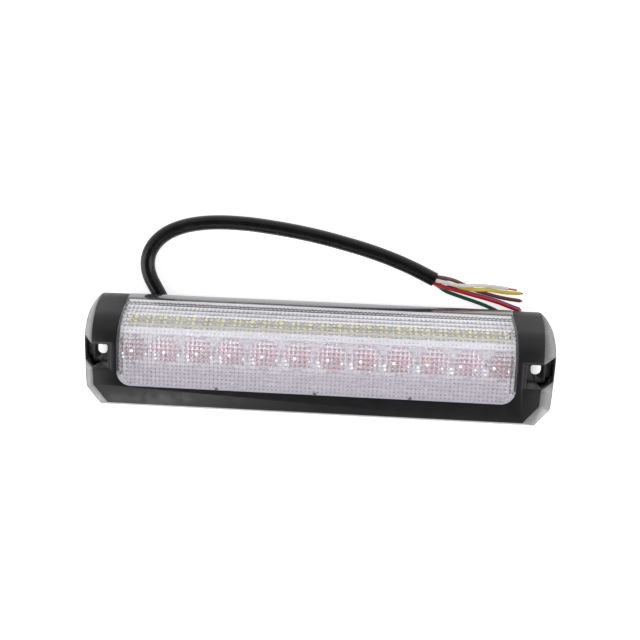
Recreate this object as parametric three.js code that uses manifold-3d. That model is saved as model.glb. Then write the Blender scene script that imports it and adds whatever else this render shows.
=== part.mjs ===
// A third brake light that lies on its back: black bezel, clear lens, sealed lamp module, six-core cable.
// Millimetres. +X along the lamp, +Y towards its curved long side, +Z out of the lens,
// z = 0 under the module.
import * as THREE from "three";
import { mergeVertices } from "three/addons/utils/BufferGeometryUtils.js";
import Module from "manifold-3d";

const wasm = await Module();
wasm.setup();

// ---------------------------------------------------------------- driving dimensions
const RIM_Z = 10; // the plane the bezel mounts on, 10 mm above the back of the module
const FACE_Z = 36; // flat part of the front
const WALL = 2.0; // bezel wall
const GAP = 0.3; // clearance between neighbours
const BASE_FOOT = 1.2; // straight land at the foot of the flared walls
const FLARE_X = 0.9046; // front outline / base outline, along the lamp
const FLARE_Y = 0.875; // and across it, measured from the curved side
const FACET_TURN = -40 * (Math.PI / 180); // the slanted facets at the low corners face this way in plan
const FACET_FOOT = 113.6; // their distance from the middle at the mounting plane
const FACET_FACE = 98.8; // and at the front
const BASE_TOP_Y = 31.35;
const BASE_LOW_Y = -31.75;
const CURVE_R = 20; // curved long side: main arc, then a tighter one at its foot
const CURVE_C = [6.3, 16];
const FOOT_R = 15.2;
const FOOT_C = [16.24, 8.4];

const LENS_HALF = 104.2;
const LENS_LOW_Y = -14.2;
const LENS_CORNER = 7.5;
const LENS_PROUD = 0.4;
const LENS_WALL = 2.0;
const LENS_FIT = 0.35;

const POCKET_X = 109.5; // screw pocket: inner wall, then low and high walls at the front
const POCKET_LOW = -5.6;
const POCKET_HIGH = 7.2;
const POCKET_STEP_X = 118.6;
const PLATE_Z = 15.5;
const PLATE_T = 2.6;

const BOARD_Z = 16.7;
const BOARD_T = 1.6;
const DIE_Z = BOARD_Z + BOARD_T + GAP;
const RED_COUNT = 12;
const RED_PITCH = 17.74;
const RED_Y = 1.0;
const WHITE_COUNT = 26;
const WHITE_PITCH = 7.86;
const WHITE_Y = 18.2;

const CABLE_R = 4.0;
const CABLE_SIDES = 12;
const WIRE_R = 1.05;
const WIRE_SIDES = 8;

// ---------------------------------------------------------------- routes, by hand
const CABLE_ROUTE = [
  [-86.3, 14.6, 7.0], [-86.3, 18.0, 7.0], [-86.35, 21.2, 6.9], [-87.1, 25.5, 5.9],
  [-89.0, 29.6, 4.8], [-91.6, 34.0, 4.2], [-94.6, 39.4, 4.05], [-96.3, 44.6, 4.05],
  [-96.5, 50.0, 4.05], [-94.9, 55.5, 4.05], [-91.1, 60.9, 4.05], [-84.9, 65.7, 4.05],
  [-76.3, 69.3, 4.05], [-67.0, 71.3, 4.05], [-57.0, 72.2, 4.05], [-42.0, 72.0, 4.05],
  [-28.0, 70.7, 4.05], [-14.0, 68.8, 4.05], [-1.0, 66.5, 4.05], [12.0, 63.6, 4.05],
  [25.0, 60.3, 4.05], [37.5, 56.4, 4.05], [50.0, 51.6, 4.05], [62.4, 45.9, 4.05],
];
const WIRES = {
  blue: {
    colour: 0x2f4f9c,
    bare: 0.9,
    route: [
      [63.6, 47.6, 2.85], [66.2, 46.5, 2.3], [69.3, 44.3, 1.4], [72.5, 42.2, 1.1],
      [76.1, 40.5, 1.1], [83.5, 38.7, 1.1], [91.0, 37.0, 1.1], [98.5, 35.1, 1.1],
      [104.0, 33.3, 1.1], [110.2, 31.3, 1.1],
    ],
  },
  brown: {
    colour: 0x6e4038,
    bare: 0.9,
    route: [
      [63.6, 47.6, 5.2], [68.1, 47.0, 4.3], [73.3, 45.8, 2.6], [77.8, 44.0, 1.3],
      [80.8, 42.6, 1.1], [83.4, 41.4, 1.1], [86.4, 40.4, 1.1], [91.0, 39.25, 1.1],
      [98.3, 37.6, 1.1], [104.0, 36.7, 1.1], [110.4, 36.0, 1.1],
    ],
  },
  white: {
    colour: 0xe8e2e0,
    bare: 4.5,
    route: [
      [62.8, 45.7, 6.4], [66.0, 45.2, 6.35], [72.2, 43.9, 6.1], [76.5, 43.4, 5.8],
      [80.0, 43.4, 5.3], [85.0, 43.7, 3.5], [90.5, 43.5, 1.6], [97.9, 42.95, 1.1],
      [103.3, 42.35, 1.1],
    ],
  },
  yellow: {
    colour: 0xd2b51f,
    bare: 0.9,
    route: [
      [62.8, 45.7, 4.05], [66.0, 45.0, 4.0], [70.0, 44.2, 3.85], [74.0, 43.1, 3.6],
      [78.6, 41.9, 3.4], [83.5, 41.3, 3.3], [87.8, 41.3, 2.95], [92.0, 41.3, 1.7],
      [96.6, 40.8, 1.1], [102.5, 40.15, 1.1], [110.2, 40.1, 1.1],
    ],
  },
  red: {
    colour: 0xb3141f,
    bare: 0.9,
    route: [
      [61.9, 44.0, 5.2], [65.0, 43.2, 5.1], [68.6, 42.0, 4.6], [76.1, 40.1, 3.55],
      [83.5, 38.3, 3.4], [91.0, 36.6, 3.4], [98.5, 34.6, 3.4], [104.0, 32.7, 3.4],
      [109.7, 30.6, 3.4],
    ],
  },
  green: {
    colour: 0x14644c,
    bare: 0.9,
    route: [
      [61.9, 44.0, 2.85], [65.0, 42.3, 2.2], [68.7, 39.8, 1.3], [76.3, 37.2, 1.1],
      [83.7, 35.0, 1.1], [91.2, 32.6, 1.1], [97.5, 30.0, 1.1], [103.5, 27.0, 1.1],
    ],
  },
};

// ---------------------------------------------------------------- solids
const root = new THREE.Group();

function solid(geometry) {
  const bare = geometry.clone();
  bare.deleteAttribute("normal");
  bare.deleteAttribute("uv");
  const merged = mergeVertices(bare, 1e-4);
  return new wasm.Manifold(
    new wasm.Mesh({
      numProp: 3,
      vertProperties: new Float32Array(merged.attributes.position.array),
      triVerts: new Uint32Array(merged.index.array),
    }),
  );
}

function box(x0, x1, y0, y1, z0, z1) {
  const g = new THREE.BoxGeometry(x1 - x0, y1 - y0, z1 - z0);
  g.translate((x0 + x1) / 2, (y0 + y1) / 2, (z0 + z1) / 2);
  return solid(g);
}

function shapeOf(points) {
  return new THREE.Shape(points.map(([a, b]) => new THREE.Vector2(a, b)));
}

// A plan outline raised from z0 to z1.
function prism(points, z0, z1) {
  const g = new THREE.ExtrudeGeometry(shapeOf(points), { depth: z1 - z0, bevelEnabled: false });
  g.translate(0, 0, z0);
  return solid(g);
}

// A [y, z] section run along X.
function bar(points, x0, x1) {
  const g = new THREE.ExtrudeGeometry(shapeOf(points), { depth: x1 - x0, bevelEnabled: false });
  const turn = new THREE.Matrix4().set(0, 0, 1, x0, 1, 0, 0, 0, 0, 1, 0, 0, 0, 0, 0, 1);
  g.applyMatrix4(turn);
  return solid(g);
}

function post(x, y, z0, z1, r, sides = 16) {
  const g = new THREE.CylinderGeometry(r, r, z1 - z0, sides);
  g.rotateX(Math.PI / 2);
  g.translate(x, y, (z0 + z1) / 2);
  return solid(g);
}

function spinZ(profile, x, y, z, sides) {
  const g = new THREE.LatheGeometry(profile.map(([r, h]) => new THREE.Vector2(r, h)), sides);
  g.rotateX(Math.PI / 2);
  g.translate(x, y, z);
  return solid(g);
}

// A closed profile spun about an axis along Y.
function spinY(profile, x, y, z, sides) {
  const g = new THREE.LatheGeometry(profile.map(([r, h]) => new THREE.Vector2(r, h)), sides);
  g.translate(x, y, z);
  return solid(g);
}

function roundedRect(x0, x1, y0, y1, r, steps = 4) {
  const points = [];
  const corners = [[x1 - r, y1 - r, 0], [x0 + r, y1 - r, 90], [x0 + r, y0 + r, 180], [x1 - r, y0 + r, 270]];
  for (const [cx, cy, start] of corners) {
    for (let i = 0; i <= steps; i++) {
      const a = ((start + (90 * i) / steps) * Math.PI) / 180;
      points.push([cx + r * Math.cos(a), cy + r * Math.sin(a)]);
    }
  }
  return points;
}

function add(name, shape, colour, roughness = 0.5, metalness = 0) {
  const mesh = shape.getMesh();
  const g = new THREE.BufferGeometry();
  g.setAttribute("position", new THREE.BufferAttribute(new Float32Array(mesh.vertProperties), 3));
  g.setIndex(new THREE.BufferAttribute(new Uint32Array(mesh.triVerts), 1));
  g.computeVertexNormals();
  const material = new THREE.MeshStandardMaterial({ color: colour, roughness, metalness });
  const node = new THREE.Mesh(g, material);
  node.name = name;
  root.add(node);
}

// ------------------------------------------------------------ outlines shared by bezel, lens and module
// Half of the base outline, from the curved side round the end to the low side.
const BASE_HALF = [
  [118.9, 31.35], [120.5, 30.6], [123.5, 27.3], [126.5, 22.4], [128.5, 16.6],
  [129.6, 10.8], [130.0, 5.5], [129.8, -4.0], [129.4, -16.0], [128.9, -22.4],
  [127.7, -26.2], [125.2, -29.5], [121.5, -31.75],
];

function baseOutline(inset) {
  const sx = (130 - inset) / 130;
  const mid = (BASE_TOP_Y + BASE_LOW_Y) / 2;
  const tall = BASE_TOP_Y - BASE_LOW_Y;
  const sy = (tall - 2 * inset) / tall;
  const right = BASE_HALF.map(([x, y]) => [x * sx, mid + (y - mid) * sy]);
  const left = right.map(([x, y]) => [-x, y]).reverse();
  return [...right.reverse(), ...left.reverse()];
}

// The outline raised from `foot`: straight for the land, then drawn in like the flared walls.
function flared(points, foot) {
  const g = new THREE.ExtrudeGeometry(shapeOf(points), { depth: 2, steps: 2, bevelEnabled: false });
  const p = g.attributes.position;
  const land = RIM_Z + BASE_FOOT;
  const full = FACE_Z - land;
  for (let i = 0; i < p.count; i++) {
    const row = Math.round(p.getZ(i));
    const z = [foot, land, FACE_Z + 6][row];
    const t = row === 2 ? (z - land) / full : 0;
    p.setX(i, p.getX(i) * (1 - (1 - FLARE_X) * t));
    p.setY(i, BASE_TOP_Y - (BASE_TOP_Y - p.getY(i)) * (1 - (1 - FLARE_Y) * t));
    p.setZ(i, z);
  }
  return solid(g);
}

// Cuts the two low corners off along their facets, which are moved in by `inset`.
function faceted(shape, inset) {
  let s = shape;
  for (const turn of [FACET_TURN, Math.PI - FACET_TURN]) {
    const g = new THREE.BoxGeometry(60, 140, 48);
    g.translate(30, 0, 24);
    const p = g.attributes.position;
    for (let i = 0; i < p.count; i++) {
      const rise = (p.getZ(i) - RIM_Z) / (FACE_Z - RIM_Z);
      p.setX(i, p.getX(i) + FACET_FOOT + (FACET_FACE - FACET_FOOT) * rise - inset * 1.22);
    }
    g.rotateZ(turn);
    s = s.subtract(solid(g));
  }
  return s;
}

// Front-to-curved-side section, drawn in by `inset`, closed down at z = foot.
function section(inset, foot, lowY = -60) {
  const points = [[lowY, foot], [lowY, FACE_Z - inset]];
  for (let i = 0; i <= 8; i++) {
    const a = ((60 * i) / 8) * (Math.PI / 180);
    const r = CURVE_R - inset;
    points.push([CURVE_C[0] + r * Math.sin(a), CURVE_C[1] + r * Math.cos(a)]);
  }
  for (let i = 0; i <= 4; i++) {
    const a = (60 + 6 * i) * (Math.PI / 180);
    const r = FOOT_R - inset;
    points.push([FOOT_C[0] + r * Math.sin(a), FOOT_C[1] + r * Math.cos(a)]);
  }
  points.push([points[points.length - 1][0], foot]);
  return points.reverse();
}

// The lens outline in plan, grown by `grow`; its far side runs past the curved side.
function lensOutline(grow) {
  const half = LENS_HALF + grow;
  const low = LENS_LOW_Y - grow;
  const r = LENS_CORNER + grow;
  const points = [[half, 45], [-half, 45]];
  for (let i = 0; i <= 6; i++) {
    const a = Math.PI + ((Math.PI / 2) * i) / 6;
    points.push([-half + r + r * Math.cos(a), low + r + r * Math.sin(a)]);
  }
  for (let i = 0; i <= 6; i++) {
    const a = 1.5 * Math.PI + ((Math.PI / 2) * i) / 6;
    points.push([half - r + r * Math.cos(a), low + r + r * Math.sin(a)]);
  }
  return points;
}

// ---------------------------------------------------------------- bezel
function slab(side, x0, x1, y0, y1, z0, z1) {
  return side > 0 ? box(x0, x1, y0, y1, z0, z1) : box(-x1, -x0, y0, y1, z0, z1);
}

// The screw slot: 5.7 mm by 5.2 mm, flat towards +Y and round below.
function slotTool(side) {
  const points = [];
  const corners = [
    [120.6, 2.1, 1.0, 0], [116.9, 2.1, 1.0, 90], [118.45, 0.45, 2.55, 180], [119.05, 0.45, 2.55, 270],
  ];
  for (const [cx, cy, r, start] of corners) {
    for (let i = 0; i <= 5; i++) {
      const a = ((start + 18 * i) * Math.PI) / 180;
      points.push([side * (cx + r * Math.cos(a)), cy + r * Math.sin(a)]);
    }
  }
  return prism(points, RIM_Z - 1, 40);
}

function withPocket(bezel, core, side) {
  const tower = slab(side, POCKET_X - 1.7, POCKET_STEP_X, POCKET_LOW - 1.8, POCKET_HIGH + 1.6, RIM_Z, 40);
  const boss = slab(side, POCKET_X - 1.7, 123.6, -8.2, 9.6, RIM_Z, PLATE_Z);
  const floor = slab(side, 123, 128.3, -11, 11, RIM_Z, RIM_Z + 1.6);
  let b = bezel.add(tower.add(boss).add(floor).intersect(core));
  b = b.subtract(slab(side, POCKET_X, 121, POCKET_LOW, POCKET_HIGH, PLATE_Z, 45));
  b = b.subtract(slab(side, POCKET_X - 1.9, POCKET_STEP_X + 0.2, -6.1, 8.1, 35, 45));
  b = b.subtract(slab(side, POCKET_STEP_X - 0.2, 140, -6.2, POCKET_HIGH, PLATE_Z - 0.2, 45));
  b = b.subtract(slab(side, 123.8, 140, -6.2, POCKET_HIGH, RIM_Z + 1.7, 45));
  b = b.subtract(slab(side, 124.4, 128.2, -3.4, 3.8, RIM_Z + 0.8, PLATE_Z + 5));
  b = b.subtract(slab(side, 110.8, 122.4, -5.6, 7.2, RIM_Z - 1, PLATE_Z - PLATE_T));
  return b.subtract(slotTool(side));
}

function bezelShell() {
  const shape = (inset, foot) =>
    faceted(flared(baseOutline(inset), foot).intersect(bar(section(inset, foot - 1), -135, 135)), inset);
  let b = shape(0, RIM_Z).subtract(shape(WALL, RIM_Z - 1));
  const core = shape(0.9, RIM_Z);
  b = withPocket(b, core, 1);
  b = withPocket(b, core, -1);
  // collar behind the lens opening
  const collar = prism(lensOutline(LENS_FIT + 1.5), 26, 45)
    .subtract(box(-140, 140, 16, 60, 0, 60))
    .intersect(core);
  b = b.add(collar);
  for (const x of BOSS_X) {
    b = b.add(post(x, BOSS_Y, RIM_Z + 2.8, FACE_Z - 1, 3.0, 14));
  }
  b = b.subtract(prism(lensOutline(LENS_FIT), RIM_Z - 5, 60));
  // rail under the foot of the lens
  const rail = bar(railSection(LENS_WALL - LENS_PROUD + 0.3, 3.95), -LENS_HALF - 0.6, LENS_HALF + 0.6);
  const ends = bar(railSection(0.7, 3.7), LENS_HALF + 0.42, 112).add(
    bar(railSection(0.7, 3.7), -112, -LENS_HALF - 0.42),
  );
  b = b.add(rail).add(ends);
  for (const x of BOSS_X) {
    b = b.subtract(post(x, BOSS_Y, RIM_Z - 1, RIM_Z + 12, 1.35, 10));
  }
  return b;
}

function railSection(outerInset, innerInset) {
  const top = 15.2;
  const line = (inset) => {
    const r = FOOT_R - inset;
    const rows = [];
    for (let i = 0; i <= 4; i++) {
      const z = RIM_Z + ((top - RIM_Z) * i) / 4;
      rows.push([FOOT_C[0] + Math.sqrt(r * r - (z - FOOT_C[1]) ** 2), z]);
    }
    return rows;
  };
  return [...line(outerInset), ...line(innerInset).reverse()];
}

const BOSS_X = [-80, -28, 28, 80];
const BOSS_Y = -20.6;

// ---------------------------------------------------------------- lens and seal
function lens() {
  const skin = prism(lensOutline(0), RIM_Z + 0.35, 60).intersect(
    bar(section(-LENS_PROUD, RIM_Z - 2), -120, 120),
  );
  const inner = prism(lensOutline(-1.8), RIM_Z - 2, 60).intersect(
    bar(section(LENS_WALL - LENS_PROUD, RIM_Z - 2), -120, 120),
  );
  const overRail = bar(section(LENS_WALL - LENS_PROUD, RIM_Z - 2), -120, 120).intersect(
    box(-120, 120, 20, 60, 0, 15.6),
  );
  return skin.subtract(inner).subtract(overRail).subtract(box(-120, 120, -30, 23.4, 0, 13.1));
}

function ring(x0, y0, y1, wide, z0, z1) {
  return box(-x0, x0, y0, y1, z0, z1).subtract(
    box(-x0 + wide, x0 - wide, y0 + wide, y1 - wide, z0 - 1, z1 + 1),
  );
}

// ---------------------------------------------------------------- module housing and its foam
const SCREW_XY = [[-88.7, -7.6], [-35.48, -7.6], [35.48, -7.6], [88.7, -7.6]];
const CABLE_X = -86.3;
const CABLE_Z = 7.0;

function housing() {
  let h = prism(roundedRect(-97.5, 97.5, -15.5, 19.5, 3), 0, 12.3);
  h = h.add(prism(roundedRect(-105.4, 105.4, -16.8, 24.2, 4), 10.4, 12.3));
  for (const x of BOSS_X) {
    h = h.add(prism(roundedRect(x - 4.5, x + 4.5, -24.4, -15, 3), 10.4, 12.3));
  }
  h = h.subtract(prism(roundedRect(-95.5, 95.5, -13.5, 17.5, 2), 1.6, 20));
  for (const [x, y] of SCREW_XY) {
    h = h.add(post(x, y, 1, 16.4, 3.0, 14));
  }
  for (const x of [-64, -21.3, 21.3, 64]) {
    h = h.add(box(x - 1, x + 1, 13, 18, 1, 16.4));
  }
  for (const [x, y] of SCREW_XY) {
    h = h.subtract(post(x, y, 7, 20, 1.3, 10));
  }
  for (const x of BOSS_X) {
    h = h.subtract(post(x, BOSS_Y, 5, 20, 1.9, 12));
  }
  // room for the cable and its grommet
  h = h.subtract(box(CABLE_X - 7, CABLE_X + 7, 19.5, 30, 5, 20));
  h = h.subtract(spinY([[0, 16], [4.95, 16], [4.95, 21], [0, 21]], CABLE_X, 0, CABLE_Z, 20));
  return h.subtract(ventHole());
}

function ventHole() {
  return spinY([[0, -17], [2.3, -17], [2.3, -12], [0, -12]], 60, 0, 5.3, 14);
}

function mountFoam() {
  const foam = prism(roundedRect(-103.5, 103.5, -16.6, 22.6, 4), 8.8, 10.1).subtract(
    prism(roundedRect(-98.2, 98.2, -16.0, 20.1, 3), 7, 12),
  );
  return foam.subtract(box(CABLE_X - 7.5, CABLE_X + 7.5, 15, 30, 5, 20));
}

// ---------------------------------------------------------------- reflectors
// A cup that opens from a round foot on the board to a wider oval mouth set towards +Y.
function cup(x) {
  const z0 = DIE_Z - 1;
  const z1 = 32.6;
  const g = new THREE.CylinderGeometry(1, 1, z1 - z0, 18);
  g.rotateX(Math.PI / 2);
  const p = g.attributes.position;
  for (let i = 0; i < p.count; i++) {
    const t = p.getZ(i) > 0 ? 1 : 0;
    const rx = t ? 8.5 : 2.7;
    const ry = t ? 7.4 : 2.7;
    p.setX(i, x + p.getX(i) * rx);
    p.setY(i, RED_Y + (t ? 4.6 : 0) + p.getY(i) * ry);
    p.setZ(i, t ? z1 : z0);
  }
  return solid(g);
}

function mainReflector() {
  let r = box(-101.8, 101.8, -11.9, 13.5, DIE_Z, 31.6).intersect(
    prism(lensOutline(-2.3), 0, 60),
  );
  const trough = [[-11.0, 40], [-11.0, 31], [-8.8, 23.2], [-4.6, 23.2], [-3.0, 31], [-3.0, 40]];
  r = r.subtract(bar(trough, -100.6, 100.6));
  for (let i = 0; i < RED_COUNT; i++) {
    r = r.subtract(cup(redX(i)));
  }
  for (const [x, y] of SCREW_XY) {
    r = r.subtract(post(x, y, DIE_Z - 1, DIE_Z + 2.1, 2.9, 14));
  }
  return r;
}

function redX(i) {
  return (i - (RED_COUNT - 1) / 2) * RED_PITCH;
}

function whiteX(i) {
  return (i - (WHITE_COUNT - 1) / 2) * WHITE_PITCH;
}

function upperReflector() {
  const wing = bar([[20.3, 18.75], [20.2, 20.6], [26.9, 17.0], [26.3, 15.6]], -101.6, 101.6);
  const end = [[16.5, DIE_Z], [16.5, 27.5], [21.6, 19.8], [21.6, 18.1], [20.3, DIE_Z]];
  return wing
    .add(bar(end, 100.4, 101.6))
    .add(bar(end, -101.6, -100.4));
}

function divider() {
  const land = [[13.9, DIE_Z], [16.2, DIE_Z], [16.0, 29.4], [16.9, 29.7], [16.75, 30.35], [13.35, 32.3],
    [13.35, 31.7], [14.2, 31.1]];
  return bar(land, -101.6, 101.6);
}

// ---------------------------------------------------------------- boards and what sits on them
function mainBoard() {
  let b = box(-99.5, 99.5, -11.6, 12.8, BOARD_Z, BOARD_Z + BOARD_T);
  for (const [x, y] of SCREW_XY) {
    b = b.subtract(post(x, y, BOARD_Z - 1, BOARD_Z + 5, 1.7, 12));
  }
  return b;
}

function upperBoard() {
  return box(-100.2, 100.2, 14.0, 20.0, BOARD_Z, BOARD_Z + BOARD_T);
}

function redLed(x) {
  const body = box(x - 1.75, x + 1.75, RED_Y - 1.4, RED_Y + 1.4, DIE_Z, DIE_Z + 0.9);
  const dome = spinZ([[0, 0], [1.2, 0], [1.05, 0.55], [0.6, 0.95], [0, 1.1]], x, RED_Y, DIE_Z + 0.85, 12);
  return body.add(dome);
}

function whiteRow() {
  let row = box(-99.9, 99.9, 17.3, 19.1, DIE_Z, DIE_Z + 0.4);
  for (let i = 0; i < WHITE_COUNT; i++) {
    const x = whiteX(i);
    row = row.add(box(x - 1.75, x + 1.75, WHITE_Y - 1.4, WHITE_Y + 1.4, DIE_Z, DIE_Z + 1.0));
  }
  return row;
}

function boardScrew(x, y) {
  const profile = [[0, -8.5], [0.95, -8], [0.95, 0], [2.3, 0], [2.3, 0.9], [1.5, 1.5], [0, 1.6]];
  return spinZ(profile, x, y, DIE_Z, 12);
}

function caseScrew(x) {
  const profile = [[0, -1.5], [1.7, -1.5], [2.9, -0.9], [2.9, 0], [1.1, 0], [1.1, 8.5], [0, 9.2]];
  return spinZ(profile, x, BOSS_Y, 10.1, 12);
}

function grommet() {
  const hole = CABLE_R + 0.3;
  const profile = [[hole, 15.6], [6.0, 15.6], [6.0, 17.2], [4.65, 17.2], [4.65, 19.8],
    [5.6, 19.8], [5.3, 21.2], [hole + 0.3, 21.6], [hole, 19.5], [hole, 15.6]];
  const g = spinY(profile, CABLE_X, 0, CABLE_Z, 20);
  return g.subtract(box(-100, -70, 0, 40, -5, 1.9));
}

function ventPlug() {
  const profile = [[0, -17.4], [3.1, -17.0], [3.1, -15.8], [2.0, -15.8], [2.0, -13.0], [0, -13.0]];
  return spinY(profile, 60, 0, 5.3, 16);
}

function terminal() {
  let t = box(-74, -58, -2, 8, 1.9, 9.0);
  for (let i = 0; i < 6; i++) {
    t = t.subtract(box(-72.9 + i * 2.45, -71.3 + i * 2.45, 5, 9, 3.4, 7.4));
  }
  return t;
}

function chip(x, y, long, wide, tall) {
  return box(x - long / 2, x + long / 2, y - wide / 2, y + wide / 2, BOARD_Z - GAP - tall, BOARD_Z - GAP);
}

function can(x, y, r, tall) {
  const top = BOARD_Z - GAP;
  return post(x, y, top - tall, top, r, 16);
}

// ---------------------------------------------------------------- cable and wires
function tube(route, r, sides, steps) {
  const curve = new THREE.CatmullRomCurve3(route.map((p) => new THREE.Vector3(...p)), false, "centripetal");
  const ringPoints = [];
  for (let i = 0; i < sides; i++) {
    const a = (2 * Math.PI * i) / sides;
    ringPoints.push([r * Math.cos(a), r * Math.sin(a)]);
  }
  return solid(new THREE.ExtrudeGeometry(shapeOf(ringPoints), { steps, extrudePath: curve }));
}

function bareEnd(route, long) {
  const a = new THREE.Vector3(...route[route.length - 2]);
  const b = new THREE.Vector3(...route[route.length - 1]);
  const way = b.clone().sub(a).normalize();
  const from = b.clone().addScaledVector(way, 0.3);
  const to = from.clone().addScaledVector(way, long);
  return tube([from.toArray(), from.clone().lerp(to, 0.5).toArray(), to.toArray()], 0.6, 8, 2);
}

// ---------------------------------------------------------------- the assembly
add("bezel", bezelShell(), 0x26282b, 0.7);
add("lens", lens(), 0xdfe3ea, 0.1);
add("lens_seal", ring(104.0, -14.0, 22.9, 1.6, 12.45, 12.95), 0x111214, 0.9);
add("module_housing", housing(), 0x1e2023, 0.6);
add("mount_foam", mountFoam(), 0x17181a, 0.95);
add("main_reflector", mainReflector(), 0xe4e4ea, 0.25);
add("upper_reflector", upperReflector(), 0xf0f0f2, 0.4);
add("divider_bar", divider(), 0xf4f4f6, 0.4);
add("main_board", mainBoard(), 0xe8e8e6, 0.5);
add("upper_board", upperBoard(), 0xe8e8e6, 0.5);
for (let i = 0; i < RED_COUNT; i++) {
  add(`red_led_${String(i + 1).padStart(2, "0")}`, redLed(redX(i)), 0xc2202a, 0.3);
}
add("white_led_row", whiteRow(), 0xe9df7a, 0.4);
add("driver_chip_red", chip(-18, 2, 6.2, 5.0, 1.6), 0x151515, 0.5);
add("driver_chip_white", chip(30, 2, 6.2, 5.0, 1.6), 0x151515, 0.5);
add("power_coil", can(6, 2, 3.6, 4.2), 0x2a2a2c, 0.5);
add("input_diode", chip(-44, 3, 4.6, 2.8, 2.2), 0x18181a, 0.5);
add("capacitor_input", can(-56, 0, 3.1, 5.6), 0xb9bcc2, 0.3, 0.8);
add("capacitor_output", can(46, 0, 3.1, 5.6), 0xb9bcc2, 0.3, 0.8);
add("resistor_red", chip(-30, 5, 3.2, 1.6, 0.6), 0x2b2b2b, 0.5);
add("resistor_white", chip(20, 5, 3.2, 1.6, 0.6), 0x2b2b2b, 0.5);
add("board_link", box(46, 54, 9.5, 17.0, 15.0, 16.4), 0x2d2d30, 0.6);
add("wire_terminal", terminal(), 0xd8d4c4, 0.6);
for (const [i, [x, y]] of SCREW_XY.entries()) {
  add(`board_screw_${i + 1}`, boardScrew(x, y), 0xb8bbc0, 0.3, 1);
}
for (const [i, x] of BOSS_X.entries()) {
  add(`case_screw_${i + 1}`, caseScrew(x), 0x8c9096, 0.35, 1);
}
add("vent_plug", ventPlug(), 0x2a2b2e, 0.8);
add("cable_grommet", grommet(), 0x151617, 0.9);
add("cable_jacket", tube(CABLE_ROUTE, CABLE_R, CABLE_SIDES, 34), 0x1b1c1e, 0.5);
for (const [name, wire] of Object.entries(WIRES)) {
  add(`wire_${name}`, tube(wire.route, WIRE_R, WIRE_SIDES, 13), wire.colour, 0.45);
  add(`wire_end_${name}`, bareEnd(wire.route, wire.bare), 0xc07a5a, 0.35, 1);
}

export default root;
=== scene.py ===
"""Third brake light on its back: camera, cable, then every piece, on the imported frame.

Shapes are modelled in millimetres and brought to metres last. The materials work in metres.
"""
import math

import bpy
import bmesh
from mathutils import Matrix, Vector


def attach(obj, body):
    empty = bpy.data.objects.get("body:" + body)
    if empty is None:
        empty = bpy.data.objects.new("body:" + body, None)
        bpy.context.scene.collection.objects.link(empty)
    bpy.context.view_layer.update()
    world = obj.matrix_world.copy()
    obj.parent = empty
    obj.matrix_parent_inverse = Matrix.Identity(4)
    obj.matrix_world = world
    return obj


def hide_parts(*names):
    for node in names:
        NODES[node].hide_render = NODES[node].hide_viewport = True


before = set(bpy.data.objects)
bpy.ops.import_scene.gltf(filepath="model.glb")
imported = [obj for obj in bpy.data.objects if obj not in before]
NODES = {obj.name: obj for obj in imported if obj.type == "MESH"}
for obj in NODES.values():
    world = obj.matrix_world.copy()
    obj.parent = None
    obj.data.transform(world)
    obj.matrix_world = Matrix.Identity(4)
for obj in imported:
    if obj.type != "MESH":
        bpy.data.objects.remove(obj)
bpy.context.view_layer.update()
scene = bpy.context.scene
MM = 0.001

# ------------------------------------------------------------------ material tools


def nodes_of(material):
    material.use_nodes = True
    tree = material.node_tree
    tree.nodes.clear()
    return tree


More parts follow.
